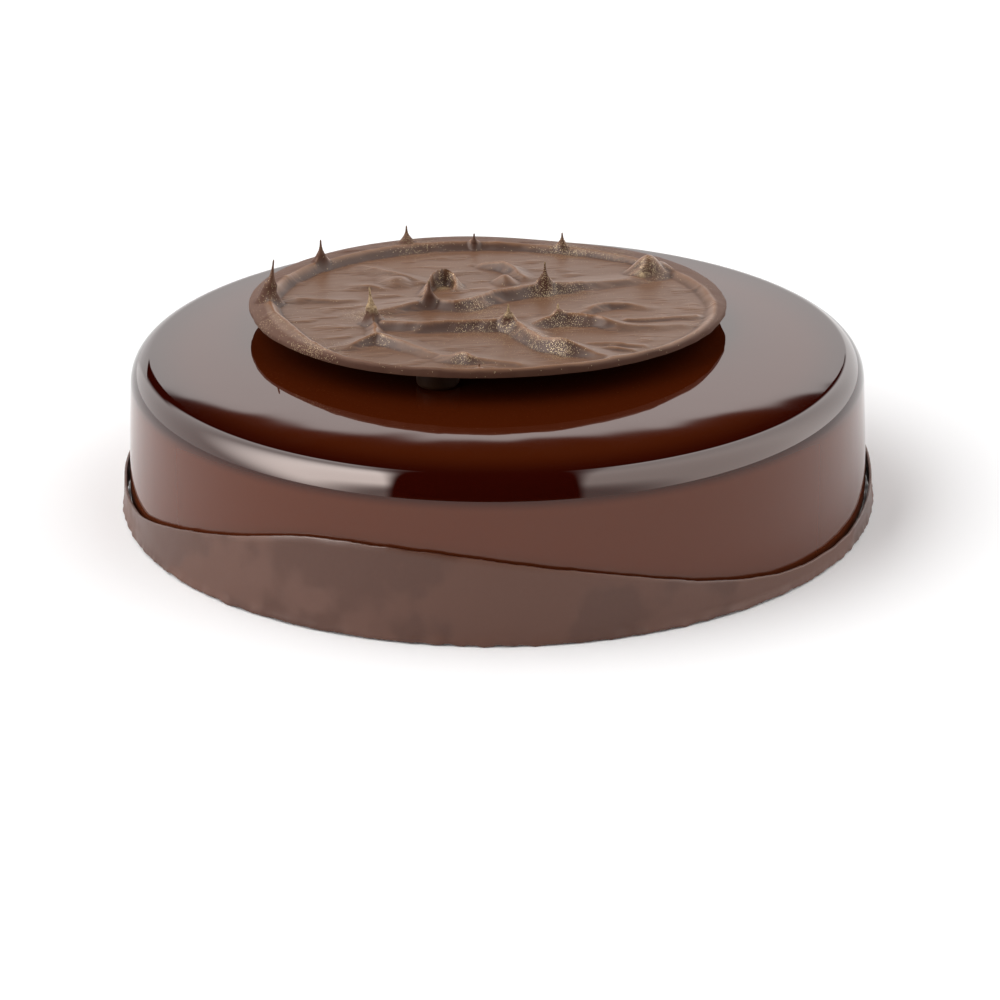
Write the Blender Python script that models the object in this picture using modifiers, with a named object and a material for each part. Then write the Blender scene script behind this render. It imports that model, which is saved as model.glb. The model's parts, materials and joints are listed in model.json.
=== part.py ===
"""A low round chocolate cake with a mirror glaze. A thin chocolate collar with a wavy
top edge stands round its foot, and a thin chocolate disc with a raised lip, soft folds
and pulled spikes lies over the top on three small dabs of chocolate.

Lengths are in millimetres here and become metres where a mesh is made. The front of the
cake is towards -Y, and the foot of the cake and of the collar stands on Z = 0."""
import math

import bmesh
import bpy
import numpy as np
from mathutils import Vector

MM = 0.001
GAP = 0.3

# Cake: its side leans out a little towards the foot and its top edge is round
CAKE_RIM_RADIUS = 99.2
CAKE_FOOT_RADIUS = 101.2
CAKE_HEIGHT = 41.3
CAKE_FILLET = 5.6
CAKE_LEAN = 5.0
CAKE_BULGE = 1.3
ROUND_STEPS = 96

# Collar: a thin strip of chocolate standing off the cake's side, leaning in with it
COLLAR_FOOT_RADIUS = 103.2
COLLAR_LEAN = 0.075
COLLAR_THICKNESS = 0.7
COLLAR_STEPS = 120
# Height of the wavy top edge at compass angles in degrees, 0 at +X and -90 in front
COLLAR_WAVE = [
    (-180, 8.8), (-172, 9.2), (-165, 7.9), (-157, 8.0), (-150, 10.7), (-141, 14.4),
    (-131, 18.3), (-120, 23.1), (-114, 24.2), (-106, 24.1), (-98, 23.4), (-90, 21.6),
    (-78, 18.0), (-69, 14.4), (-60, 10.4), (-52, 7.5), (-45, 5.5), (-38, 4.9), (-30, 4.5),
    (-18, 5.3), (-10, 7.2), (0, 8.8), (12, 11), (40, 16), (85, 17), (130, 12.5),
]

# Disc: its own coordinates have their origin in the middle of its flat underside
DISC_RADIUS = 66.3
DISC_CENTRE = (-2.6, 19.6, 46.5)
DISC_SLOPE_X = -0.0093
DISC_SLOPE_Y = -0.0257
DISC_RINGS = 29
DISC_FLOOR = 1.0
DISC_EDGE = 0.7
LIP_CENTRE = (1.0, -7.0)
LIP_HALF_WIDTH = 61.5
LIP_HALF_DEPTH = 58.3
LIP_LIMIT = 65.2
LIP_INNER_SLOPE = 3.0

# Folds of the disc: points (x, y, height over the floor) along each crest from left to
# right, then the width of its steep front face and of its gentle back
FOLDS = [
    ([(-29, -14, 1.0), (-17, -9, 2.3), (-7, -10, 2.6), (4, -1, 2.8), (16, 5, 3.0),
      (23, 8, 2.4), (32, 12, 1.5), (40, 15, 1.3)], 3.4, 11.0),
    ([(-28, -27, 2.0), (-13, -29, 2.4), (-2, -28, 2.6), (6, -29, 3.2), (11, -38, 3.0),
      (15, -45, 3.2), (20, -48, 3.8), (27, -51, 1.5), (32, -55, 0.8)], 3.4, 9.0),
    ([(11, -29, 1.0), (19, -23, 2.8), (28, -24, 2.8), (38, -28, 1.2), (52, -26, 0.6)],
     3.2, 8.0),
    ([(25, -16, 0.6), (31, -10, 1.4), (36, -8, 1.4), (43, -10, 0.6)], 2.6, 6.0),
    ([(38, -21, 0.8), (48, -20, 0.9), (57, -18, 0.8)], 2.0, 4.0),
    ([(-36, -43, 0.6), (-29, -39, 2.6), (-24, -42, 2.0), (-17, -48, 1.2),
      (-11, -54, 1.0), (-6, -55, 2.4), (-2, -56, 1.2), (8, -59, 0.8)], 2.8, 6.0),
    ([(-31, -24, 2.2), (-30, -31, 1.6), (-29, -38, 2.2)], 3.0, 3.0),
    ([(-36, 29, 0.8), (-27, 21, 1.6), (-19, 15, 0.6)], 5.0, 6.0),
    ([(-1, 31, 1.2), (6, 28, 2.4), (10, 19, 1.0)], 3.0, 4.5),
    ([(-52, -3, 0.6), (-45, -4, 0.8), (-38, -3, 0.4)], 2.4, 6.0),
    ([(-38, 10, 0.4), (-33, 9, 0.9), (-29, 8, 0.3)], 2.4, 5.0),
    ([(27, -41, 0.4), (34, -42, 0.7), (41, -43, 0.4)], 1.8, 2.6),
    ([(27, -46, 0.4), (33, -46, 0.7), (38, -47, 0.4)], 1.8, 2.6),
    ([(-17, 0, 1.4), (-15.5, 7, 3.2), (-12.5, 12.5, 4.6), (-9.5, 14, 3.6), (-7.5, 12.5, 1.6)],
     2.0, 4.2),
]

# Round humps of the disc: x, y, radius and height over the floor
HUMPS = [(46, 24, 8.0, 5.8), (-26, 15, 7.0, 1.6), (5, 15, 4.5, 2.2)]

# Pulled spikes: x, y, radius at the foot, height over the disc's surface, lean to +X
SPIKES = [
    (-60, -6, 4.2, 10.4, 8), (-48, 29, 3.0, 6.2, 0), (-24, 50, 3.0, 5.2, 0),
    (-4, 50, 2.0, 3.4, 0), (22, 48, 2.4, 4.0, 0), (-16, -9, 2.8, 5.6, 0),
    (-31, -24, 3.6, 8.4, -4), (16, 4.5, 3.2, 6.8, 0), (5.6, -29, 3.0, 4.6, 0),
    (19, -22.5, 2.6, 2.8, 0), (-2, -63, 2.0, 1.6, 0),
]

# Dabs of chocolate that hold the disc up: x and y on the cake's top, and their radius
DABS = {"dab_front": (-15.5, -32.5), "dab_right": (37.0, 38.0), "dab_left": (-36.0, 42.0)}
DAB_RADIUS = 6.0


def clear_scene():
    for item in list(bpy.context.scene.objects):
        bpy.data.objects.remove(item, do_unlink=True)


def make_material(name, colour, roughness, coat=0.0):
    material = bpy.data.materials.new(name)
    material.use_nodes = True
    surface = material.node_tree.nodes["Principled BSDF"]
    surface.inputs["Base Color"].default_value = (*colour, 1.0)
    surface.inputs["Roughness"].default_value = roughness
    surface.inputs["Metallic"].default_value = 0.0
    surface.inputs["Coat Weight"].default_value = coat
    return material


def add_object(name, mesh, collection, material=None):
    item = bpy.data.objects.new(name, mesh)
    collection.objects.link(item)
    if material:
        mesh.materials.append(material)
    return item


def turned(name, profile, steps, collection, material=None):
    """Turn a profile of (radius, height) points, top to bottom, round the Z axis."""
    points = [(radius * MM, 0.0, height * MM) for radius, height in profile]
    mesh = bpy.data.meshes.new(name)
    mesh.from_pydata(points, [(i, i + 1) for i in range(len(points) - 1)], [])
    item = add_object(name, mesh, collection, material)
    screw = item.modifiers.new("Turn", "SCREW")
    screw.axis = "Z"
    screw.angle = math.tau
    screw.steps = steps
    screw.render_steps = steps
    screw.use_merge_vertices = True
    screw.merge_threshold = 0.00001
    screw.use_smooth_shade = True
    return item


def round_rim(radius, height, bend, lean, count):
    """Points of a rounded top edge, from level down to a side that leans by this angle."""
    last = math.pi / 2 - math.radians(lean)
    angles = [last * i / count for i in range(count + 1)]
    return [(radius - bend + bend * math.sin(a), height - bend + bend * math.cos(a))
            for a in angles]


def smoothstep(value):
    value = np.clip(value, 0.0, 1.0)
    return value * value * (3.0 - 2.0 * value)


def smooth_path(points, per_span=10):
    """A smooth line through the points, by the Catmull-Rom rule."""
    points = np.array(points, float)
    ends = np.vstack([2 * points[0] - points[1], points, 2 * points[-1] - points[-2]])
    spans = []
    for a, b, c, d in zip(ends[:-3], ends[1:-2], ends[2:-1], ends[3:]):
        t = np.linspace(0.0, 1.0, per_span, endpoint=False)[:, None]
        spans.append(0.5 * (2 * b + (c - a) * t + (2 * a - 5 * b + 4 * c - d) * t**2
                            + (3 * b - a - 3 * c + d) * t**3))
    return np.vstack(spans + [points[-1:]])


def fold_height(x, y, points, front, back):
    """A fold: highest on its crest, steep on the -Y side and gentle on the other."""
    path = smooth_path(points)
    along = np.gradient(path[:, :2], axis=0)
    along /= np.hypot(*along.T)[:, None]
    dx = x[:, None] - path[:, 0]
    dy = y[:, None] - path[:, 1]
    away = np.hypot(dx, dy)
    side = (along[:, 0] * dy - along[:, 1] * dx) / (away + 1e-6)
    share = np.clip(away / (front + (back - front) * (0.5 + 0.5 * side)), 0.0, 1.0)
    return (path[:, 2] * (1.0 - share**1.2)**1.7).max(axis=1)


def lip_radius(angle):
    """Distance of the lip's crest from the disc's middle: an ellipse set towards the front."""
    cx, cy = LIP_CENTRE
    ux, uy = np.cos(angle), np.sin(angle)
    a = (ux / LIP_HALF_WIDTH)**2 + (uy / LIP_HALF_DEPTH)**2
    b = cx * ux / LIP_HALF_WIDTH**2 + cy * uy / LIP_HALF_DEPTH**2
    c = (cx / LIP_HALF_WIDTH)**2 + (cy / LIP_HALF_DEPTH)**2 - 1.0
    return np.minimum((b + np.sqrt(b * b - a * c)) / a, LIP_LIMIT)


def disc_top(x, y):
    """Height of the disc's upper surface over its flat underside."""
    radius, angle = np.hypot(x, y), np.arctan2(y, x)
    crest = lip_radius(angle)
    lip = 2.8 - 0.5 * np.cos(angle) + 0.3 * np.sin(angle)
    inside = smoothstep((crest - radius) / LIP_INNER_SLOPE)
    outside = np.clip((radius - crest) / (DISC_RADIUS - crest), 0.0, 1.0)
    base = np.where(radius < crest, lip + (DISC_FLOOR - lip) * inside,
                    lip + (DISC_EDGE - lip) * outside**1.3)
    power = np.zeros_like(x)
    for points, front, back in FOLDS:
        power += fold_height(x, y, points, front, back)**4
    for hx, hy, width, height in HUMPS:
        power += (height * (1.0 - smoothstep(np.hypot(x - hx, y - hy) / width)))**4
    fade = smoothstep((DISC_RADIUS - radius) / 4.0)
    return base + fade * power**0.25


def round_sheet(radius, rings):
    """An even sheet of triangles: a hexagon cut into rings and drawn out to a circle."""
    sheet = bmesh.new()
    bmesh.ops.create_circle(sheet, cap_ends=True, cap_tris=True, segments=6, radius=1.0)
    bmesh.ops.subdivide_edges(sheet, edges=sheet.edges[:], cuts=rings - 1, use_grid_fill=True)
    bmesh.ops.triangulate(sheet, faces=sheet.faces[:])
    sixth = math.pi / 3
    for vertex in sheet.verts:
        angle = math.atan2(vertex.co.y, vertex.co.x) - sixth / 2
        sector = math.floor(angle / sixth + 1e-6)
        turn = angle - sector * sixth
        first, second = math.sin(sixth - turn), math.sin(turn)
        reach = vertex.co.length * (first + second) / math.sin(sixth)
        angle = (sector + second / (first + second)) * sixth
        vertex.co = Vector((math.cos(angle), math.sin(angle), 0.0)) * reach * radius
    return sheet


def disc_mesh(name):
    """The disc without its spikes: a flat underside, a thin edge and the folded top."""
    solid = round_sheet(DISC_RADIUS, DISC_RINGS)
    underside = solid.faces[:]
    raised = bmesh.ops.extrude_face_region(solid, geom=underside, use_keep_orig=True)["geom"]
    top = [item for item in raised if isinstance(item, bmesh.types.BMVert)]
    heights = disc_top(np.array([v.co.x for v in top]), np.array([v.co.y for v in top]))
    for vertex, height in zip(top, heights):
        vertex.co.z = float(height)
    bmesh.ops.dissolve_faces(solid, faces=underside)
    bmesh.ops.scale(solid, vec=(MM, MM, MM), verts=solid.verts)
    bmesh.ops.recalc_face_normals(solid, faces=solid.faces)
    mesh = bpy.data.meshes.new(name)
    solid.to_mesh(mesh)
    solid.free()
    mesh.shade_smooth()
    mesh.set_sharp_from_angle(angle=math.radians(50))
    return mesh


def add_spike(index, collection):
    x, y, foot, height, lean = SPIKES[index]
    rises = [1.0, 0.93, 0.8, 0.6, 0.4, 0.22, 0.08, 0.0]
    base = float(disc_top(np.array([x], float), np.array([y], float))[0])
    sunk = 0.6 * base
    profile = [(0.0, height)]
    profile += [(0.3 + (foot - 0.3) * (1.0 - t)**2.6, height * t - 0.05) for t in rises]
    profile += [(foot, -sunk), (0.0, -sunk)]
    spike = turned("spike_%02d" % index, profile, 12, collection)
    spike.location = (x * MM, y * MM, base * MM)
    spike.rotation_euler = (0.0, math.radians(lean), 0.0)
    return spike


def add_disc(collection, material):
    disc = add_object("chocolate_disc", disc_mesh("chocolate_disc"), collection, material)
    spikes = bpy.data.collections.new("spikes")
    bpy.context.scene.collection.children.link(spikes)
    for index in range(len(SPIKES)):
        add_spike(index, spikes)
    union = disc.modifiers.new("Spikes", "BOOLEAN")
    union.operation = "UNION"
    union.operand_type = "COLLECTION"
    union.collection = spikes
    union.solver = "EXACT"
    bpy.context.view_layer.update()
    evaluated = disc.evaluated_get(bpy.context.evaluated_depsgraph_get())
    joined = bpy.data.meshes.new_from_object(evaluated)
    disc.modifiers.clear()
    disc.data = joined
    for spike in list(spikes.objects):
        bpy.data.objects.remove(spike, do_unlink=True)
    bpy.data.collections.remove(spikes)
    disc.location = Vector(DISC_CENTRE) * MM
    disc.rotation_euler = (math.atan(DISC_SLOPE_Y), -math.atan(DISC_SLOPE_X), 0.0)
    return disc


def disc_underside(x, y):
    """Height of the disc's underside over the floor at a point of the plan."""
    cx, cy, cz = DISC_CENTRE
    return cz + DISC_SLOPE_X * (x - cx) + DISC_SLOPE_Y * (y - cy)


def add_cake(collection, material):
    """The glazed body: a level top, a rounded edge and a side that swells to the foot."""
    rim = round_rim(CAKE_RIM_RADIUS, CAKE_HEIGHT, CAKE_FILLET, CAKE_LEAN, 7)
    shoulder, top = rim[-1]
    side = [(CAKE_FOOT_RADIUS - (CAKE_FOOT_RADIUS - shoulder) * share**CAKE_BULGE, top * share)
            for share in (0.75, 0.5, 0.25, 0.0)]
    profile = [(0.0, CAKE_HEIGHT), (0.5 * CAKE_RIM_RADIUS, CAKE_HEIGHT)] + rim + side
    profile.append((0.0, 0.0))
    return turned("cake_body", profile, ROUND_STEPS, collection, material)


def collar_height(angle):
    """Height of the collar's top edge: the wave's points joined by easy slopes."""
    degrees = math.degrees(angle)
    stops = COLLAR_WAVE + [(COLLAR_WAVE[0][0] + 360, COLLAR_WAVE[0][1])]
    for (start, low), (end, high) in zip(stops, stops[1:]):
        if start <= degrees <= end:
            share = (degrees - start) / (end - start)
            return low + (high - low) * share
    return COLLAR_WAVE[0][1]


def add_collar(collection, material):
    """One sheet with a wavy top that leans in with the cake's side, thickened inwards."""
    sheet = bmesh.new()
    bmesh.ops.create_circle(sheet, segments=COLLAR_STEPS, radius=COLLAR_FOOT_RADIUS * MM)
    wall = bmesh.ops.extrude_edge_only(sheet, edges=sheet.edges[:])["geom"]
    crest = [item for item in wall if isinstance(item, bmesh.types.BMVert)]
    for vertex in crest:
        height = collar_height(math.atan2(vertex.co.y, vertex.co.x))
        vertex.co *= 1.0 - COLLAR_LEAN * height / COLLAR_FOOT_RADIUS
        vertex.co.z = height * MM
    bmesh.ops.recalc_face_normals(sheet, faces=sheet.faces)
    side = sheet.faces[:][0]
    if side.normal.dot(side.calc_center_median().to_2d().to_3d()) < 0:
        bmesh.ops.reverse_faces(sheet, faces=sheet.faces)
    mesh = bpy.data.meshes.new("chocolate_collar")
    sheet.to_mesh(mesh)
    sheet.free()
    mesh.shade_smooth()
    collar = add_object("chocolate_collar", mesh, collection, material)
    skin = collar.modifiers.new("Thickness", "SOLIDIFY")
    skin.thickness = COLLAR_THICKNESS * MM
    skin.offset = -1.0
    return collar


def add_dab(name, place, collection, material):
    x, y = place
    slack = DAB_RADIUS * (abs(DISC_SLOPE_X) + abs(DISC_SLOPE_Y))
    height = disc_underside(x, y) - slack - CAKE_HEIGHT - 2 * GAP
    profile = [(0.0, height), (DAB_RADIUS - 1.0, height), (DAB_RADIUS - 0.2, 0.75 * height),
               (DAB_RADIUS, 0.45 * height), (DAB_RADIUS - 0.3, 0.0), (0.0, 0.0)]
    dab = turned(name, profile, 20, collection, material)
    dab.location = (x * MM, y * MM, (CAKE_HEIGHT + GAP) * MM)
    return dab


def main():
    clear_scene()
    collection = bpy.data.collections.new("chocolate_cake")
    bpy.context.scene.collection.children.link(collection)
    glaze = make_material("mirror_glaze", (0.045, 0.008, 0.003), 0.05, coat=0.5)
    thin_chocolate = make_material("disc_chocolate", (0.16, 0.085, 0.058), 0.45)
    collar_chocolate = make_material("collar_chocolate", (0.13, 0.065, 0.045), 0.5)
    dark_chocolate = make_material("dab_chocolate", (0.02, 0.006, 0.003), 0.4)
    add_cake(collection, glaze)
    add_collar(collection, collar_chocolate)
    add_disc(collection, thin_chocolate)
    for name, place in DABS.items():
        add_dab(name, place, collection, dark_chocolate)


main()
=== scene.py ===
import json
import math

import bmesh
import bpy
import numpy as np
from mathutils import Matrix, Vector

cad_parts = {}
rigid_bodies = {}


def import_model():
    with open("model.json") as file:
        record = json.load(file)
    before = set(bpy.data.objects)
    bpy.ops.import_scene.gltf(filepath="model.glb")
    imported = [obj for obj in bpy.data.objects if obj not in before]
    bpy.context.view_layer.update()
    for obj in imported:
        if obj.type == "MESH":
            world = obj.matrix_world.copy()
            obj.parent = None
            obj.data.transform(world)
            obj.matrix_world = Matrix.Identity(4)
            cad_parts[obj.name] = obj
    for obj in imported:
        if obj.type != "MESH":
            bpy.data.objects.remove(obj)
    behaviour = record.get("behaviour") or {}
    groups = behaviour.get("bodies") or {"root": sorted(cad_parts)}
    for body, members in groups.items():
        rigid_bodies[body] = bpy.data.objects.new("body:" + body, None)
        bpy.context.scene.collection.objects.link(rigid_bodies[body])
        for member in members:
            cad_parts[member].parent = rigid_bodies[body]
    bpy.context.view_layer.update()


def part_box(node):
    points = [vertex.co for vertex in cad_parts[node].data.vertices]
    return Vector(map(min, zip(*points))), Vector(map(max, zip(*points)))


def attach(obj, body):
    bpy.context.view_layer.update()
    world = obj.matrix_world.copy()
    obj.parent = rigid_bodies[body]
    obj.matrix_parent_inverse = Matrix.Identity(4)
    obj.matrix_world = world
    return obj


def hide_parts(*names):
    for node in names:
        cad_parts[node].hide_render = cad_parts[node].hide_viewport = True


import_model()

# A low round chocolate cake under a mirror glaze, seen from a little above. Lengths that
# describe the chocolate disc are in millimetres from the middle of its flat underside.
MM = 0.001
# A difference below this counts as none
CLOSE = 1e-6
# Soft noise: octaves, and sine waves in each
WAVE_OCTAVES = 3
WAVES_EACH = 5

# Cake and collar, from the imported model
cake_low, cake_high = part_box("cake_body")
collar_low, collar_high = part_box("chocolate_collar")
CAKE_FOOT_RADIUS = (cake_high.x - cake_low.x) / 2
CAKE_RIM_RADIUS = CAKE_FOOT_RADIUS - 2.0 * MM
CAKE_HEIGHT = cake_high.z
CAKE_FILLET = 5.6 * MM
CAKE_FILLET_DEPTH = 6.6 * MM
CAKE_LEAN = math.radians(5.0)
# The side swells a little between its foot and its rounded edge
CAKE_BULGE = 1.3
CAKE_SIDES = 320
CAKE_SIDE_ROWS = 13
CAKE_EDGE_ROWS = 23
# Widths in millimetres of the rings of faces on top, from the edge inwards
TOP_RINGS = (0.6, 3, 9, 25, 30)
FOOT_RING = 2 * MM
COLLAR_FOOT_RADIUS = (collar_high.x - collar_low.x) / 2
COLLAR_LEAN = 0.075
COLLAR_THICKNESS = 0.7 * MM
COLLAR_SOFT_EDGE = 0.12 * MM
COLLAR_SIDES = 900
COLLAR_ROWS = 14
# Degrees between the samples that smooth the wave, and how far they count
COLLAR_STEP = 0.6
COLLAR_SMOOTHING = 1.8
# Height in millimetres of the collar's wavy top at angles in degrees, 0 at +X, -90 in front
COLLAR_WAVE = [
    (-180, 8.8), (-172, 9.2), (-165, 7.9), (-157, 8.0), (-150, 10.7), (-141, 14.4),
    (-131, 18.3), (-120, 23.1), (-114, 24.2), (-106, 24.1), (-98, 23.4), (-90, 21.6),
    (-78, 18.0), (-69, 14.4), (-60, 10.4), (-52, 7.5), (-45, 5.5), (-38, 4.9), (-30, 4.5),
    (-18, 5.3), (-10, 7.2), (0, 8.8), (12, 11), (40, 16), (85, 17), (130, 12.5),
]

# Chocolate disc, in millimetres: its place and tilt, the thickness of its floor and of its
# edge, and the ellipse and height of the lip's crest
DISC_RADIUS = 66.3
DISC_CENTRE = Vector((-2.6, 19.6, 46.5)) * MM
DISC_SLOPE_X = -0.0093
DISC_SLOPE_Y = -0.0257
DISC_FLOOR = 1.0
DISC_EDGE = 0.7
EDGE_INSET = 0.3
# Cuts that divide the six first triangles, one after the other
DISC_CUTS = (7, 19)
LIP_CENTRE = (1.0, -7.0)
LIP_HALF_WIDTH = 61.5
LIP_HALF_DEPTH = 58.3
LIP_LIMIT = 65.2
LIP_INNER_SLOPE = 3.0
LIP_HEIGHT = 2.8
# Direction and half width in radians, where the lip's crest lies further in and further out
LIP_CORNER = (-2.62, 0.3)
LIP_FRONT = (-2.1, 0.4)
# Direction and half width in radians and depth of each place where the edge sags, and the
# distance from the middle at which the sag starts, and its width
RIM_SAGS = [(-2.2, 0.5, 0.8), (1.25, 0.36, 0.9)]
SAG_START = 40.0
SAG_WIDTH = 26.0
# How far the flat sheet is pulled down to start the underside, before it gets its size
DISC_DROP = 0.1
# Powers that round a fold's crest and hollow its flanks, and steps between two of its points
FOLD_CREST = 1.2
FOLD_FLANK = 1.7
CREST_STEPS = 14
# Each fold: points (x, y, height) along its crest from left to right, the width of its
# steep front face and that of its gentle back
FOLDS = [
    ([(-29, -14, 1.0), (-17, -9, 2.3), (-7, -10, 2.6), (4, -1, 2.8), (16, 5, 3.0),
      (23, 8, 2.4), (32, 12, 1.5), (40, 15, 1.3)], 3.4, 11.0),
    ([(-28, -27, 2.0), (-13, -29, 2.4), (-2, -28, 2.6), (6, -29, 3.2), (11, -38, 3.0),
      (15, -45, 3.2), (20, -48, 3.8), (27, -51, 1.5), (32, -55, 0.8)], 3.4, 9.0),
    ([(11, -29, 1.0), (19, -23, 2.8), (28, -24, 2.8), (38, -28, 1.2), (52, -26, 0.6)],
     3.2, 8.0),
    ([(25, -16, 0.6), (31, -10, 1.4), (36, -8, 1.4), (43, -10, 0.6)], 2.6, 6.0),
    ([(38, -21, 0.8), (48, -20, 0.9), (57, -18, 0.8)], 2.0, 4.0),
    ([(-36, -43, 0.6), (-29, -39, 2.6), (-24, -42, 2.0), (-17, -48, 1.2),
      (-11, -54, 1.0), (-6, -55, 2.4), (-2, -56, 1.2), (8, -59, 0.8)], 2.8, 6.0),
    ([(-31, -24, 2.2), (-30, -31, 1.6), (-29, -38, 2.2)], 3.0, 3.0),
    ([(-36, 29, 0.8), (-27, 21, 1.6), (-19, 15, 0.6)], 5.0, 6.0),
    ([(-1, 31, 1.2), (6, 28, 2.4), (10, 19, 1.0)], 3.0, 4.5),
    ([(-52, -3, 0.6), (-45, -4, 0.8), (-38, -3, 0.4)], 2.4, 6.0),
    ([(-38, 10, 0.4), (-33, 9, 0.9), (-29, 8, 0.3)], 2.4, 5.0),
    ([(27, -41, 0.4), (34, -42, 0.7), (41, -43, 0.4)], 1.8, 2.6),
    ([(27, -46, 0.4), (33, -46, 0.7), (38, -47, 0.4)], 1.8, 2.6),
    ([(-17, 1, 1.2), (-16.5, 6, 2.8), (-15, 10.5, 4.4), (-12.5, 13, 4.8), (-10, 12.5, 4.0),
      (-9, 10, 2.4), (-9, 7.5, 1.0)], 1.2, 2.8),
]
# Round humps: x, y, radius, height
HUMPS = [(46, 24, 8.0, 5.8), (-26, 15, 7.0, 1.6), (5, 15, 4.5, 2.2)]
# Places brushed with gold: x, y and reach
GILDED_SPOTS = [(-12.5, 9.5, 2.6), (44, 19, 2.0)]
# Spikes: sides and rows of faces, power of the flare, thickness of the neck and of the tip
SPIKE_SIDES = 16
SPIKE_ROWS = 13
SPIKE_FLARE = 2.6
SPIKE_NECK = 0.3
SPIKE_TIP = 0.24
SPIKE_END = 0.6
# Shares of a spike's height: how far the disc's own sheet rises, the level of the spun
# part's foot, and the level at which its flare starts
SPIKE_SHEET = 0.42
SPIKE_FOOT = 0.12
SPIKE_START = 0.30
# Pulled spikes: x, y, radius at the foot, height, lean in degrees, gilded share from the tip
SPIKES = [
    (-60, -6, 4.2, 10.4, 8, 0.0), (-48, 29, 3.0, 6.2, 0, 0.0), (-24, 50, 3.0, 5.2, 0, 0.0),
    (-4, 50, 2.0, 3.4, 0, 0.0), (22, 48, 2.4, 4.0, 0, 0.0), (-16, -9, 2.8, 5.6, 0, 0.2),
    (-31, -24, 3.6, 8.4, -4, 0.9), (16, 4.5, 3.2, 6.8, 0, 0.2), (5.6, -29, 3.0, 4.6, 0, 0.8),
    (19, -22.5, 2.6, 2.8, 0, 0.5), (-2, -63, 2.0, 1.6, 0, 0.0),
]
# Gold: grains to a metre, dust that lies everywhere, how far leaf reaches round a spike's
# axis, and x, y, reach and strength of each dusty patch
GOLD_GRAINS = 4600.0
GOLD_EVERYWHERE = 0.015
LEAF_REACH = 2.2
GOLD_PATCHES = [
    (-47, -47, 9, 0.7), (-58, -26, 7, 0.3), (-22, 49, 9, 0.45), (24, 47, 9, 0.75),
    (38, 42, 6, 0.5), (-2, -12, 7, 0.6), (16, 2, 6, 0.9), (24, 4, 6, 0.5), (4, -33, 7, 0.7),
    (-5, -31, 6, 0.4), (13, -43, 6, 0.6), (19, -50, 5, 1.0), (20, -26, 7, 0.7),
    (46, 21, 6, 0.7), (-11, 11, 5, 0.8), (-34, -16, 5, 1.0), (-28, -20, 5, 0.5),
    (-6, -57, 5, 0.5), (-60, -9, 5, 0.15), (-28, -41, 5, 0.3),
]

# Dabs: sides, width as a share of the solid's, how uneven their sides are, and how far
# their edges are rounded
DAB_SIDES = 48
DAB_WIDTH = 0.97
DAB_UNEVEN = 0.03
DAB_ROUND = 0.9 * MM

# Camera: lens and sensor in millimetres, distance in metres, angles in radians
CAMERA_LENS = 90.58
CAMERA_SENSOR = 36.0
CAMERA_DISTANCE = 0.70
CAMERA_RISE = 0.3937
CAMERA_PITCH = 0.4005
CAMERA_YAW = 0.0008
CAMERA_ROLL = -0.0067

# Surroundings: brightness that the camera sees, the backdrop's brightness and the height
# at which it ends, and the most of the left light that lights dull surfaces
CAMERA_WHITE = 0.97
BACKDROP_LIGHT = 1.45
BACKDROP_TOP = (0.3670, 0.3692)
LIGHT_LIMIT = 4.5
FLOOR_RADIUS = 6.0
FLOOR_SIDES = 128


class Wire:
    """A socket that takes part in ordinary arithmetic."""

    def __init__(self, tree, socket):
        self.tree, self.socket = tree, socket

    def _math(self, operation, *terms, clamp=False):
        node = self.tree.nodes.new("ShaderNodeMath")
        node.operation = operation
        node.use_clamp = clamp
        for slot, term in zip(node.inputs, terms):
            if isinstance(term, Wire):
                self.tree.links.new(term.socket, slot)
            else:
                slot.default_value = term
        return Wire(self.tree, node.outputs[0])

    def __add__(self, other): return self._math("ADD", self, other)
    def __radd__(self, other): return self._math("ADD", other, self)
    def __sub__(self, other): return self._math("SUBTRACT", self, other)
    def __rsub__(self, other): return self._math("SUBTRACT", other, self)
    def __mul__(self, other): return self._math("MULTIPLY", self, other)
    def __rmul__(self, other): return self._math("MULTIPLY", other, self)
    def __truediv__(self, other): return self._math("DIVIDE", self, other)
    def __gt__(self, other): return self._math("GREATER_THAN", self, other)

    def most(self, other): return self._math("MAXIMUM", self, other)
    def least(self, other): return self._math("MINIMUM", self, other)
    def held(self): return self._math("ADD", self, 0.0, clamp=True)

    def step(self, low, high):
        """0 below low, 1 above high and smooth between."""
        share = ((self - low) / (high - low)).held()
        return share * share * (3.0 - 2.0 * share)


class Shader:
    """The node tree of one material or of the surroundings."""

    def __init__(self, owner):
        owner.use_nodes = True
        self.tree = owner.node_tree
        self.tree.nodes.clear()

    def node(self, kind, settings=None, out=0, **sockets):
        """Add a node: its settings first, then the values or links of its sockets."""
        made = self.tree.nodes.new("ShaderNode" + kind)
        for name, value in (settings or {}).items():
            setattr(made, name, value)
        for name, value in sockets.items():
            slot = made.inputs[int(name[1:]) if name[1:].isdigit() else name.replace("_", " ")]
            if isinstance(value, Wire):
                self.tree.links.new(value.socket, slot)
            else:
                slot.default_value = value
        return Wire(self.tree, made.outputs[out])

    def place(self):
        return self.node("TexCoord", out="Object")

    def noise(self, scale, detail=3.0, roughness=0.5, stretch=None):
        where = self.place()
        if stretch:
            where = self.node("Mapping", {}, Vector=where, Scale=stretch)
        return self.node("TexNoise", {}, out="Fac", Vector=where, Scale=scale, Detail=detail,
                         Roughness=roughness)

    def blend(self, share, first, second):
        return self.node("Mix", {"data_type": "RGBA"}, out=2, i0=share, i6=first, i7=second)

    def parts(self, place):
        """The three numbers of a place or direction."""
        split = self.node("SeparateXYZ", {}, Vector=place)
        return [Wire(self.tree, socket) for socket in split.socket.node.outputs]

    def finish(self, surface, kind="OutputMaterial"):
        end = self.tree.nodes.new("ShaderNode" + kind)
        self.tree.links.new(surface.socket, end.inputs["Surface"])


def rgb(r, g, b):
    return (r, g, b, 1.0)


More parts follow.
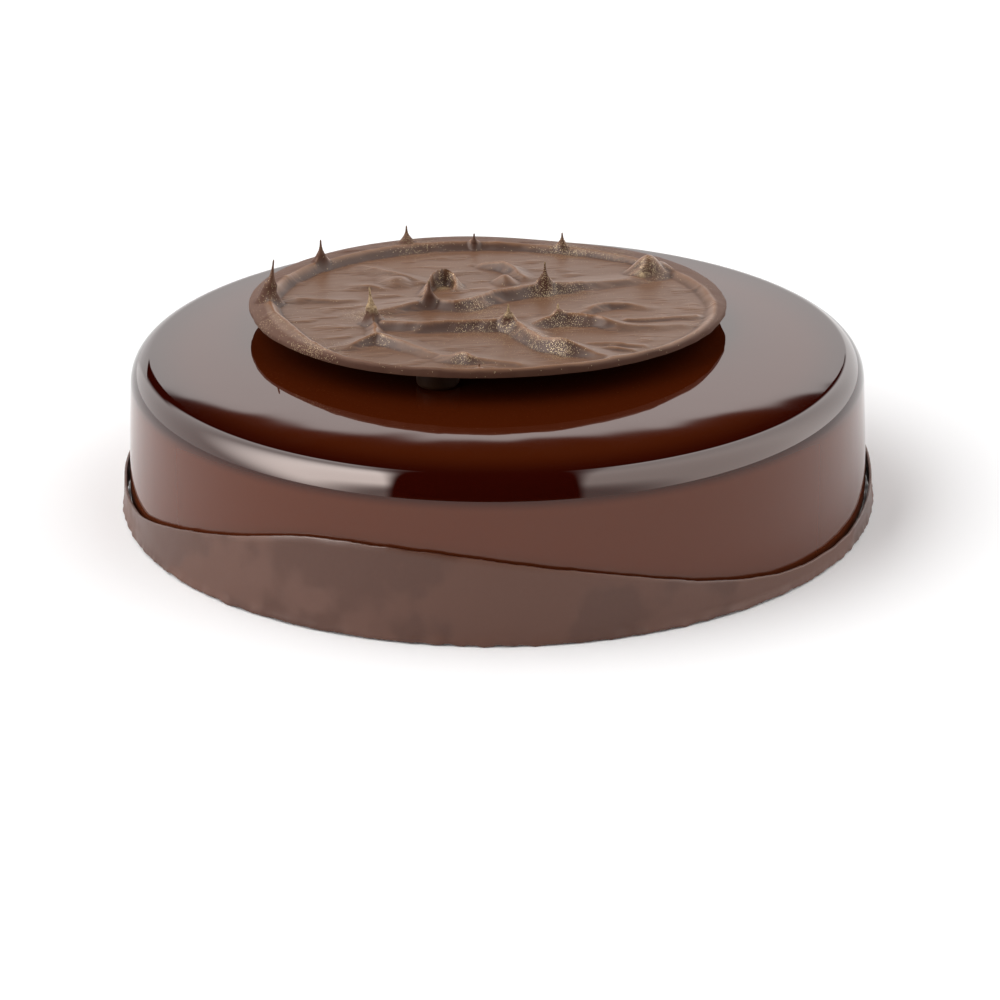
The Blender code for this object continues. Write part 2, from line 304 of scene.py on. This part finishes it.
def glaze_material():
    """Mirror glaze: nearly black red brown and very smooth, darkened towards the top's rounded
    edge by painted shade and made lighter and redder on the side by painted light.
    """
    material = bpy.data.materials.new("mirror_glaze")
    s = Shader(material)
    x, y, z = s.parts(s.place())
    # Painted shade: the top darkens towards its rounded edge. Painted light: the side below the
    # edge is a lighter, redder brown, as if lit from the pale floor.
    edge = (x * x + y * y).step(0.080**2, 0.096**2)
    painted_light_side = 1.0 - z.step(0.0335, 0.0370)
    colour = s.blend(edge, rgb(0.053, 0.0078, 0.0012), rgb(0.020, 0.0015, 0.0006))
    colour = s.blend(painted_light_side, colour, rgb(0.088, 0.0200, 0.0070))
    swell = s.node("Bump", {}, Strength=0.05, Distance=0.0004, Height=s.noise(45.0, 1.0))
    surface = s.node("BsdfPrincipled", {}, Base_Color=colour, Roughness=0.02, IOR=1.5,
                     Specular_Tint=rgb(1.0, 0.86, 0.80), Normal=swell)
    s.finish(surface)
    return material


def collar_material():
    """Satin strip chocolate with soft blotches, shinier where it lay on its film."""
    material = bpy.data.materials.new("collar_chocolate")
    s = Shader(material)
    blotch = s.noise(34.0, 3.0, 0.5)
    patch = (0.8 * blotch + 0.2 * s.noise(110.0, 2.0)).step(0.46, 0.54)
    grain = s.noise(900.0, 3.0, 0.6)
    colour = s.blend(0.7 * patch + 0.3 * grain, rgb(0.076, 0.029, 0.017),
                     rgb(0.104, 0.044, 0.028))
    bump = s.node("Bump", {}, Strength=0.2, Distance=0.0003,
                  Height=s.noise(150.0, 4.0, 0.55) + 0.6 * patch)
    surface = s.node("BsdfPrincipled", {}, Base_Color=colour, Roughness=0.30 + 0.16 * patch,
                     IOR=1.46, Normal=bump)
    s.finish(surface)
    return material


def disc_material():
    """Satin chocolate with gold dust: the gold attribute says where, fine cells say which."""
    material = bpy.data.materials.new("disc_chocolate")
    s = Shader(material)
    streak = s.noise(60.0, 3.0, 0.5, stretch=(0.3, 1.0, 1.0))
    outer = s.node("Attribute", {"attribute_name": "outer"}, out="Fac")
    # The tone attribute is painted shade and light: dark on slopes facing the front and in
    # hollows, light on crests.
    tone = s.node("Attribute", {"attribute_name": "tone"}, out="Fac")
    share = (tone + 0.3 * (streak - 0.5)).held()
    colour = s.blend(share, rgb(0.030, 0.009, 0.0036), rgb(0.205, 0.096, 0.046))
    colour = s.blend(0.8 * outer, colour, rgb(0.052, 0.017, 0.008))
    where = s.place()
    fine = s.node("TexVoronoi", {}, out="Distance", Vector=where, Scale=GOLD_GRAINS)
    pick = s.node("TexWhiteNoise", {}, out="Value",
                  Vector=s.node("TexVoronoi", {}, out="Position", Vector=where, Scale=GOLD_GRAINS))
    dust = s.node("Attribute", {"attribute_name": "gold"}, out="Fac")
    leaf = s.node("Attribute", {"attribute_name": "leaf"}, out="Fac")
    fleck = (pick > 1.0 - 0.50 * dust) * (1.0 - fine.step(0.35, 0.50))
    cover = (leaf * s.noise(700.0, 3.0, 0.6).step(0.30, 0.60)).held()
    gilt = (0.75 * fleck).most(0.6 * cover).held()
    gold = s.blend(pick, rgb(0.34, 0.23, 0.12), rgb(0.62, 0.48, 0.29))
    bump = s.node("Bump", {}, Strength=0.12, Distance=0.0002,
                  Height=s.noise(200.0, 2.0, 0.5, stretch=(0.3, 1.0, 1.0)) + 0.4 * gilt)
    surface = s.node("BsdfPrincipled", {}, Base_Color=s.blend(gilt, colour, gold),
                     Metallic=0.5 * gilt, IOR=1.40, Specular_Tint=rgb(1.0, 0.94, 0.87),
                     Roughness=0.28 + 0.08 * streak + 0.28 * outer + 0.22 * (1.0 - share),
                     Normal=bump)
    s.finish(surface)
    return material


def dab_material():
    material = bpy.data.materials.new("dab_chocolate")
    s = Shader(material)
    mottle = s.noise(260.0, 3.0)
    # Painted shade: the dabs are coloured nearly black, as they stand in the shade under the disc.
    colour = s.blend(mottle, rgb(0.012, 0.004, 0.001), rgb(0.024, 0.008, 0.002))
    surface = s.node("BsdfPrincipled", {}, Base_Color=colour, Roughness=0.6, IOR=1.2)
    s.finish(surface)
    return material


def floor_material():
    material = bpy.data.materials.new("pale_floor")
    s = Shader(material)
    tone = s.noise(3.0, 2.0)
    colour = s.blend(tone, rgb(0.93, 0.93, 0.935), rgb(0.95, 0.95, 0.955))
    s.finish(s.node("BsdfDiffuse", {}, Color=colour))
    return material


def start_modelling():
    if bpy.context.object and bpy.context.object.mode != "OBJECT":
        bpy.ops.object.mode_set(mode="OBJECT")
    bpy.ops.object.select_all(action="DESELECT")


def select_where(item, test, what):
    """In edit mode, select the edges with both ends, or the faces with a middle, that pass."""
    bpy.context.tool_settings.mesh_select_mode = (False, what == "EDGE", what == "FACE")
    bpy.ops.mesh.select_all(action="DESELECT")
    mesh = bmesh.from_edit_mesh(item.data)
    if what == "EDGE":
        chosen = [e for e in mesh.edges if test(e.verts[0].co) and test(e.verts[1].co)]
    else:
        chosen = [f for f in mesh.faces if test(f.calc_center_median())]
    for element in chosen:
        element.select = True
    mesh.select_flush_mode()
    bmesh.update_edit_mesh(item.data)


def settle(item, name, material, node):
    """Fix a finished piece in place: name, finish, body and the solid that it stands for."""
    start_modelling()
    item.select_set(True)
    bpy.context.view_layer.objects.active = item
    bpy.ops.object.transform_apply(location=True, rotation=True, scale=True)
    item.name = name
    item.data.name = name
    item.data.materials.clear()
    item.data.materials.append(material)
    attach(item, "root")
    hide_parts(node)


def apply_modifiers(item):
    bpy.context.view_layer.objects.active = item
    for modifier in list(item.modifiers):
        bpy.ops.object.modifier_apply(modifier=modifier.name)


def smoothstep(value):
    value = np.clip(value, 0.0, 1.0)
    return value * value * (3.0 - 2.0 * value)


def waves(x, y, seed, size):
    """Soft noise over the plane from sums of slanting sine waves, about -1 to 1."""
    draw = np.random.default_rng(seed)
    total = np.zeros_like(x)
    for octave in range(WAVE_OCTAVES):
        reach = size / 2.1**octave
        for _ in range(WAVES_EACH):
            turn, phase = draw.uniform(0, math.tau, 2)
            stretch = draw.uniform(0.7, 1.4)
            along = x * math.cos(turn) + y * math.sin(turn)
            total += np.sin(math.tau * along / (reach * stretch) + phase) / 1.9**octave
    return total / 6.0


def start_ring(vertices, rows):
    """A ring of edges extruded upward row by row, left in edit mode with its top selected."""
    start_modelling()
    bpy.ops.mesh.primitive_circle_add(vertices=vertices, radius=1.0, fill_type="NOTHING")
    ring = bpy.context.object
    bpy.ops.object.mode_set(mode="EDIT")
    bpy.context.tool_settings.mesh_select_mode = (False, True, False)
    bpy.ops.mesh.select_all(action="SELECT")
    for _ in range(rows):
        bpy.ops.mesh.extrude_edges_move(TRANSFORM_OT_translate={"value": (0, 0, 1.0)})
    return ring


def read_points(item):
    points = np.empty(len(item.data.vertices) * 3)
    item.data.vertices.foreach_get("co", points)
    return points.reshape(-1, 3)


def write_points(item, points):
    item.data.vertices.foreach_set("co", np.ascontiguousarray(points).ravel())
    item.data.update()


def cake_outline():
    """Radius and height of each row of the side, from the foot up and round the edge."""
    start = math.atan(math.tan(CAKE_LEAN) * CAKE_FILLET_DEPTH / CAKE_FILLET)
    bend = np.linspace(start, math.pi / 2, CAKE_EDGE_ROWS)
    edge = np.column_stack([CAKE_RIM_RADIUS - CAKE_FILLET * (1 - np.cos(bend)),
                            CAKE_HEIGHT - CAKE_FILLET_DEPTH * (1 - np.sin(bend))])
    share = np.linspace(0.0, 1.0, CAKE_SIDE_ROWS)[:-1]
    side = np.column_stack([CAKE_FOOT_RADIUS - (CAKE_FOOT_RADIUS - edge[0, 0])
                            * share**CAKE_BULGE, edge[0, 1] * share])
    return np.vstack([side, edge])


def make_body(material):
    outline = cake_outline()
    body = start_ring(CAKE_SIDES, len(outline) - 1)
    bpy.ops.mesh.edge_face_add()
    bpy.ops.object.mode_set(mode="OBJECT")
    points = read_points(body)
    row = np.round(points[:, 2]).astype(int)
    points[:, :2] *= outline[row, 0][:, None]
    points[:, 2] = outline[row, 1]
    write_points(body, points)
    bpy.ops.object.mode_set(mode="EDIT")
    select_where(body, lambda co: co.z > CAKE_HEIGHT - CLOSE, "FACE")
    for width in TOP_RINGS:
        bpy.ops.mesh.inset(thickness=width * MM, depth=0.0)
    bpy.ops.mesh.poke()
    select_where(body, lambda co: co.z < CLOSE, "EDGE")
    bpy.ops.mesh.edge_face_add()
    bpy.ops.mesh.inset(thickness=FOOT_RING, depth=0.0)
    bpy.ops.mesh.select_all(action="SELECT")
    bpy.ops.mesh.normals_make_consistent(inside=False)
    bpy.ops.object.mode_set(mode="OBJECT")
    bpy.ops.object.shade_smooth_by_angle(angle=math.radians(40))
    settle(body, "glazed_cake", material, "cake_body")


def collar_top(degrees):
    """Height of the collar's top edge in millimetres."""
    stops = [(a - 360, h) for a, h in COLLAR_WAVE] + COLLAR_WAVE
    stops += [(a + 360, h) for a, h in COLLAR_WAVE]
    angles, heights = np.array(stops, float).T
    spread = np.arange(-6, 7) * COLLAR_STEP
    weights = np.exp(-0.5 * (spread / COLLAR_SMOOTHING)**2)
    return sum(w * np.interp(degrees + d, angles, heights)
               for d, w in zip(spread, weights)) / weights.sum()


def make_collar(material):
    """A strip bent to a leaning ring, its top cut to the wave and both edges ragged."""
    collar = start_ring(COLLAR_SIDES, COLLAR_ROWS)
    bpy.ops.mesh.select_all(action="SELECT")
    bpy.ops.mesh.normals_make_consistent(inside=False)
    bpy.ops.object.mode_set(mode="OBJECT")
    points = read_points(collar)
    angle = np.arctan2(points[:, 1], points[:, 0])
    turn = angle * COLLAR_FOOT_RADIUS / MM
    flat = 0 * turn
    rise = points[:, 2] / COLLAR_ROWS
    ragged = 0.14 * waves(turn, flat, 3, 9.0) + 0.07 * waves(turn, flat, 4, 2.2)
    high = collar_top(np.degrees(angle)) + ragged
    low = 0.45 + 0.35 * waves(turn, flat, 7, 11.0) + 0.2 * waves(turn, flat, 8, 2.9)
    height = np.clip(low, 0.0, 1.2) * (1 - rise) + rise**1.15 * high
    bulge = 0.12 * waves(turn, height, 5, 26.0) + 0.25 * waves(turn, flat, 9, 120.0)
    foot = 0.3 * (1 - smoothstep(height / 3.0)) * (1 + waves(turn, turn, 6, 7.0))
    reach = COLLAR_FOOT_RADIUS - COLLAR_LEAN * height * MM + (bulge + foot) * MM
    points[:, :2] *= reach[:, None]
    points[:, 2] = height * MM
    write_points(collar, points)
    skin = collar.modifiers.new("Thickness", "SOLIDIFY")
    skin.thickness = COLLAR_THICKNESS
    skin.offset = -1.0
    edge = collar.modifiers.new("Soft edge", "BEVEL")
    edge.width = COLLAR_SOFT_EDGE
    edge.segments = 2
    edge.limit_method = "ANGLE"
    edge.angle_limit = math.radians(50)
    apply_modifiers(collar)
    bpy.ops.object.shade_smooth_by_angle(angle=math.radians(50))
    settle(collar, "chocolate_strip", material, "chocolate_collar")


def smooth_path(points):
    """A smooth line through the points, by the Catmull-Rom rule."""
    points = np.array(points, float)
    ends = np.vstack([2 * points[0] - points[1], points, 2 * points[-1] - points[-2]])
    spans = []
    for a, b, c, d in zip(ends[:-3], ends[1:-2], ends[2:-1], ends[3:]):
        t = np.linspace(0.0, 1.0, CREST_STEPS, endpoint=False)[:, None]
        spans.append(0.5 * (2 * b + (c - a) * t + (2 * a - 5 * b + 4 * c - d) * t**2
                            + (3 * b - a - 3 * c + d) * t**3))
    return np.vstack(spans + [points[-1:]])


def fold_height(x, y, points, front, back):
    """A fold: highest on its crest, steep on the -Y side and gentle on the other."""
    path = smooth_path(points)
    along = np.gradient(path[:, :2], axis=0)
    along /= np.hypot(*along.T)[:, None]
    rise = np.zeros_like(x)
    low, high = path[:, :2].min(0) - back, path[:, :2].max(0) + back
    near = np.flatnonzero((x > low[0]) & (x < high[0]) & (y > low[1]) & (y < high[1]))
    for spot, way in zip(path, along):
        dx, dy = x[near] - spot[0], y[near] - spot[1]
        away = np.hypot(dx, dy)
        side = (way[0] * dy - way[1] * dx) / (away + CLOSE)
        share = np.clip(away / (front + (back - front) * (0.5 + 0.5 * side)), 0.0, 1.0)
        rise[near] = np.maximum(rise[near], spot[2] * (1.0 - share**FOLD_CREST)**FOLD_FLANK)
    return rise


def lip_radius(angle):
    """Distance of the lip's crest from the disc's middle: an ellipse set towards the front."""
    cx, cy = LIP_CENTRE
    ux, uy = np.cos(angle), np.sin(angle)
    a = (ux / LIP_HALF_WIDTH)**2 + (uy / LIP_HALF_DEPTH)**2
    b = cx * ux / LIP_HALF_WIDTH**2 + cy * uy / LIP_HALF_DEPTH**2
    c = (cx / LIP_HALF_WIDTH)**2 + (cy / LIP_HALF_DEPTH)**2 - 1.0
    return np.minimum((b + np.sqrt(b * b - a * c)) / a, LIP_LIMIT)


def spike_rise(radius, foot, height):
    """Height of a spike's surface at a distance from its axis: flared foot, thin point."""
    share = np.clip((radius - SPIKE_NECK) / (foot - SPIKE_NECK), 0.0, 1.0)
    return height * (1.0 - share**(1 / SPIKE_FLARE))


def near_angle(angle, centre, width):
    """1 in a direction and falling to 0 on both sides of it."""
    return np.exp(-((angle - centre) / width)**2)


def rim_sag(x, y):
    """How far the disc's edge hangs down at its left front and right back, in millimetres."""
    radius, angle = np.hypot(x, y), np.arctan2(y, x)
    depth = sum(most * near_angle(angle, centre, width) for centre, width, most in RIM_SAGS)
    return depth * smoothstep((radius - SAG_START) / SAG_WIDTH)


def disc_top(x, y, spikes=True):
    """Height of the disc's upper surface over its flat underside, in millimetres."""
    radius, angle = np.hypot(x, y), np.arctan2(y, x)
    corner = near_angle(angle, *LIP_CORNER)
    front = near_angle(angle, *LIP_FRONT)
    crest = lip_radius(angle) + 0.8 * front - 2.4 * corner + 0.5 * waves(x, y, 11, 30.0)
    lip = LIP_HEIGHT - 0.5 * np.cos(angle) + 0.3 * np.sin(angle) + 0.25 * waves(x, y, 12, 24.0)
    lip = lip + 0.5 * corner - 0.5 * front
    inside = smoothstep((crest - radius) / LIP_INNER_SLOPE)
    outside = np.clip((radius - crest) / (DISC_RADIUS - crest), 0.0, 1.0)
    base = np.where(radius < crest, lip + (DISC_FLOOR - lip) * inside,
                    lip + (DISC_EDGE - lip) * outside**1.3)
    bent_x, bent_y = x + 0.8 * waves(x, y, 13, 17.0), y + 0.8 * waves(x, y, 14, 15.0)
    power = np.zeros_like(x)
    for points, steep, gentle in FOLDS:
        power += fold_height(bent_x, bent_y, points, steep, gentle)**4
    for hx, hy, width, height in HUMPS:
        power += (height * (1.0 - smoothstep(np.hypot(bent_x - hx, bent_y - hy) / width)))**4
    fade = smoothstep((DISC_RADIUS - radius) / 4.0)
    ripples = 0.07 * waves(0.35 * x, y, 15, 9.0) + 0.02 * waves(0.4 * x, y, 16, 4.0)
    wrinkles = 0.5 * np.clip(waves(0.28 * x, y, 17, 6.5) - 0.15, 0.0, None)
    surface = base + fade * (power**0.25 + ripples + wrinkles) - rim_sag(x, y)
    if spikes:
        for sx, sy, foot, height, _, _ in SPIKES:
            flare = spike_rise(np.hypot(x - sx, y - sy), foot, height)
            surface = surface + np.minimum(flare, SPIKE_SHEET * height)
    return surface


def foot_level(x, y):
    """Height of the disc where a spike stands, without the spike."""
    return float(disc_top(np.array([x], float), np.array([y], float), spikes=False)[0])


def gold_amount(x, y):
    total = np.zeros_like(x)
    for gx, gy, reach, strength in GOLD_PATCHES:
        total += strength * np.exp(-((x - gx)**2 + (y - gy)**2) / (0.5 * reach**2))
    return np.clip(total + GOLD_EVERYWHERE, 0.0, 1.0)


def make_spike(index):
    """The upper part of a spike, spun from its outline; its foot is sunk in the disc."""
    x, y, foot, height, lean, _ = SPIKES[index]
    base = foot_level(x, y)
    rises = np.linspace(SPIKE_START, 1.0, SPIKE_ROWS)
    start_modelling()
    bpy.ops.mesh.primitive_cylinder_add(
        vertices=SPIKE_SIDES, radius=MM, depth=MM, end_fill_type="TRIFAN",
        location=(0, 0, 0.5 * MM))
    spike = bpy.context.object
    bpy.ops.object.transform_apply(location=True)
    bpy.ops.object.mode_set(mode="EDIT")
    for _ in range(len(rises) - 1):
        select_where(spike, lambda co: co.z > top_of(spike) - CLOSE, "FACE")
        bpy.ops.mesh.extrude_region_move(TRANSFORM_OT_translate={"value": (0, 0, MM)})
    bpy.ops.object.mode_set(mode="OBJECT")
    for vertex in spike.data.vertices:
        row = round(vertex.co.z / MM) - 1
        if row < 0:
            width = (foot - SPIKE_NECK) * (1 - rises[0])**SPIKE_FLARE + SPIKE_NECK
            level = SPIKE_FOOT * height
        else:
            width = SPIKE_TIP + (foot - SPIKE_TIP) * (1 - rises[row])**SPIKE_FLARE
            level = height * rises[row]
            if row == len(rises) - 1:
                width *= SPIKE_END
        flat = vertex.co.to_2d()
        if flat.length > CLOSE:
            flat = flat.normalized() * width
        vertex.co = Vector((flat.x, flat.y, level)) * MM
    sway = math.tan(math.radians(lean))
    for vertex in spike.data.vertices:
        vertex.co.x += sway * vertex.co.z
        vertex.co += Vector((x, y, base)) * MM
    return spike


def top_of(item):
    return max(v.co.z for v in bmesh.from_edit_mesh(item.data).verts)


def make_disc(material):
    """The thin disc: an even sheet of triangles raised to its relief, closed underneath."""
    start_modelling()
    bpy.ops.mesh.primitive_circle_add(vertices=6, radius=1.0, fill_type="TRIFAN")
    disc = bpy.context.object
    bpy.ops.object.mode_set(mode="EDIT")
    for cuts in DISC_CUTS:
        bpy.ops.mesh.select_all(action="SELECT")
        bpy.ops.mesh.subdivide(number_cuts=cuts)
    bpy.ops.mesh.select_all(action="DESELECT")
    bpy.ops.mesh.select_mode(type="EDGE")
    bpy.ops.mesh.select_non_manifold(extend=False, use_wire=False, use_boundary=True,
                                     use_multi_face=False, use_non_contiguous=False,
                                     use_verts=False)
    bpy.ops.mesh.extrude_edges_move(TRANSFORM_OT_translate={"value": (0, 0, -DISC_DROP)})
    bpy.ops.mesh.edge_face_add()
    bpy.ops.object.mode_set(mode="OBJECT")
    points = read_points(disc)
    under = points[:, 2] < -DISC_DROP / 2
    sixth = math.pi / 3
    first_corner = math.atan2(*reversed(first_corner_of(points)))
    angle = np.arctan2(points[:, 1], points[:, 0]) - first_corner
    # Bend the hexagon to a circle, corner by corner, with its triangles still even
    sector = np.floor(angle / sixth + CLOSE)
    turn = angle - sector * sixth
    one, two = np.sin(sixth - turn), np.sin(turn)
    reach = np.hypot(points[:, 0], points[:, 1]) * (one + two) / math.sin(sixth)
    angle = (sector + two / (one + two)) * sixth
    edge = 0.35 * waves(60 * np.cos(angle), 60 * np.sin(angle), 21, 22.0)
    reach = reach * (DISC_RADIUS - EDGE_INSET + edge * smoothstep((reach - 0.9) / 0.1))
    x, y = reach * np.cos(angle), reach * np.sin(angle)
    height = np.where(under, -rim_sag(x, y), disc_top(x, y))
    write_points(disc, np.column_stack([x, y, height]) * MM)
    spikes = bpy.data.collections.new("spikes")
    bpy.context.scene.collection.children.link(spikes)
    for index in range(len(SPIKES)):
        spike = make_spike(index)
        for home in list(spike.users_collection):
            home.objects.unlink(spike)
        spikes.objects.link(spike)
    union = disc.modifiers.new("Spikes", "BOOLEAN")
    union.operation = "UNION"
    union.operand_type = "COLLECTION"
    union.collection = spikes
    union.solver = "MANIFOLD"
    start_modelling()
    apply_modifiers(disc)
    for spike in list(spikes.objects):
        bpy.data.objects.remove(spike, do_unlink=True)
    bpy.data.collections.remove(spikes)
    paint_gold(disc)
    disc.select_set(True)
    bpy.ops.object.shade_smooth_by_angle(angle=math.radians(75))
    disc.rotation_euler = (math.atan(DISC_SLOPE_Y), -math.atan(DISC_SLOPE_X), 0.0)
    disc.location = DISC_CENTRE
    settle(disc, "folded_disc", material, "chocolate_disc")


def first_corner_of(points):
    """The plan place of the hexagon's corner that is farthest out."""
    far = np.argmax(np.round(np.hypot(points[:, 0], points[:, 1]), 5))
    return float(points[far, 0]), float(points[far, 1])


def paint_gold(disc):
    """Write for each point how dusty and gilded it is, if it is outside the lip, and its tone of
    painted shade and light.
    """
    x, y, z = read_points(disc).T / MM
    leaf = np.zeros_like(x)
    for sx, sy, _, height, lean, gilt in SPIKES:
        if gilt <= 0:
            continue
        base = foot_level(sx, sy)
        up = (z - base) / height
        away = np.hypot(x - sx - math.tan(math.radians(lean)) * (z - base), y - sy)
        leaf = np.maximum(leaf, (away < LEAF_REACH) * smoothstep((up - 1.0 + gilt) / 0.25))
    for gx, gy, reach in GILDED_SPOTS:
        leaf = np.maximum(leaf, smoothstep((reach - np.hypot(x - gx, y - gy)) / 2.5))
    beyond = np.hypot(x, y) - lip_radius(np.arctan2(y, x))
    raised = z - disc_top(x, y, spikes=False)
    outer = np.maximum(smoothstep((beyond + 0.3) / 1.2), smoothstep((raised - 0.3) / 1.5))
    # Painted shade and light: slopes that face the front and hollows are darker, crests are
    # lighter
    step = 0.8
    right, left = disc_top(x + step, y), disc_top(x - step, y)
    rear, fore = disc_top(x, y + step), disc_top(x, y - step)
    hollow = np.clip((right + left + rear + fore - 4 * disc_top(x, y)) / step**2, -1.5, 1.0)
    facing = np.clip((rear - fore) / (2 * step), 0.0, 1.6)
    tone = np.clip(0.54 - 0.60 * facing - 0.42 * hollow, 0.0, 1.0)
    for name, values in (("gold", gold_amount(x, y)), ("leaf", leaf), ("outer", outer),
                         ("tone", tone)):
        disc.data.attributes.new(name, "FLOAT", "POINT").data.foreach_set("value", values)


def make_dab(name, node, material, seed):
    """A small pressed dab of chocolate, a little uneven round its side."""
    low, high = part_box(node)
    middle, radius = (low + high) / 2, (high.x - low.x) / 2
    start_modelling()
    bpy.ops.mesh.primitive_cylinder_add(vertices=DAB_SIDES, radius=radius * DAB_WIDTH,
                                        depth=high.z - low.z, location=middle)
    dab = bpy.context.object
    bpy.ops.object.transform_apply(location=True)
    bpy.ops.object.mode_set(mode="EDIT")
    select_where(dab, lambda co: abs(co.z - middle.z) > 0.4 * (high.z - low.z), "FACE")
    bpy.ops.mesh.bevel(offset=DAB_ROUND, segments=5, affect="EDGES")
    bpy.ops.mesh.select_all(action="DESELECT")
    bpy.ops.object.mode_set(mode="OBJECT")
    draw = np.random.default_rng(seed)
    phases = draw.uniform(0, math.tau, 4)
    for vertex in dab.data.vertices:
        flat = Vector((vertex.co.x - middle.x, vertex.co.y - middle.y))
        angle = math.atan2(flat.y, flat.x)
        swell = sum(math.sin((k + 2) * angle + phases[k]) / (k + 2) for k in range(4))
        grow = DAB_WIDTH + DAB_UNEVEN * swell
        vertex.co.x, vertex.co.y = middle.x + flat.x * grow, middle.y + flat.y * grow
    bpy.ops.object.shade_smooth_by_angle(angle=math.radians(50))
    settle(dab, name, material, node)


def make_floor():
    start_modelling()
    bpy.ops.mesh.primitive_circle_add(vertices=FLOOR_SIDES, radius=FLOOR_RADIUS, fill_type="NGON")
    floor = bpy.context.object
    floor.name = "floor"
    floor.data.materials.append(floor_material())


def make_surroundings():
    """A soft studio all round: a bright backdrop low behind, tall soft boxes left and right."""
    world = bpy.data.worlds.new("studio")
    bpy.context.scene.world = world
    s = Shader(world)
    x, y, z = s.parts(s.node("TexCoord", {}, out="Generated"))
    # Where each light stands: x to the right, y to the back and z up, in parts of a direction
    behind = y.step(0.35, 0.6)
    backdrop = BACKDROP_LIGHT * (1.0 - (z + 1.3 * (x * x).least(0.03)).step(*BACKDROP_TOP))
    left = (0.27 * y - x).step(0.27, 0.33)
    right = (x + 0.2 * y).step(0.205, 0.26)
    above = z.step(0.44, 0.51).most(1.0 - behind)
    above = above.most(x.step(0.15, 0.24)).most((-1.0 * x).step(0.33, 0.48))
    front = -1.0 * y
    left_light = 2.0 + 10.5 * (z - 0.9 * y).step(0.12, 0.85) * (1.0 - front.step(0.45, 0.80))
    right_light = (4.0 - 1.9 * y.step(0.2, 0.8)) * (1.0 - 0.72 * front.step(0.45, 0.85))
    left_box, right_box = left * above * left_light, right * above * right_light
    light = left_box.most(right_box).most(backdrop * behind)
    seen = s.node("LightPath", {}, out="Is Camera Ray")
    mirrored = s.node("LightPath", {}, out="Is Glossy Ray")
    # Mirrored rays see the boxes as they are, dull surfaces get a weaker and evener light
    spread = (0.048 + 0.65 * left_box.least(LIGHT_LIMIT) + 0.38 * right_box
              + 0.50 * backdrop * behind)
    shown = seen * CAMERA_WHITE + (1.0 - seen) * (mirrored * light + (1.0 - mirrored) * spread)
    s.finish(s.node("Background", {}, Color=rgb(1.0, 0.995, 0.99), Strength=shown),
             "OutputWorld")


def make_camera():
    """The photograph's view: from the front, 22.6 degrees above the table, 0.7 m away."""
    data = bpy.data.cameras.new("camera")
    data.sensor_width = CAMERA_SENSOR
    data.lens = CAMERA_LENS
    camera = bpy.data.objects.new("camera", data)
    bpy.context.scene.collection.objects.link(camera)
    turn = (Matrix.Rotation(-CAMERA_YAW, 4, "Z")
            @ Matrix.Rotation(math.pi / 2 - CAMERA_PITCH, 4, "X")
            @ Matrix.Rotation(CAMERA_ROLL, 4, "Z"))
    spot = Vector((0.0, -math.cos(CAMERA_RISE), math.sin(CAMERA_RISE))) * CAMERA_DISTANCE
    camera.matrix_world = Matrix.Translation(spot) @ turn
    bpy.context.scene.camera = camera


make_camera()
make_surroundings()
make_floor()
make_body(glaze_material())
make_collar(collar_material())
make_disc(disc_material())
painted_shade_dab = dab_material()
for seed, (name, node) in enumerate((("front_dab", "dab_front"), ("left_dab", "dab_left"),
                                     ("right_dab", "dab_right"))):
    make_dab(name, node, painted_shade_dab, seed)
bpy.context.scene.view_settings.view_transform = "Standard"
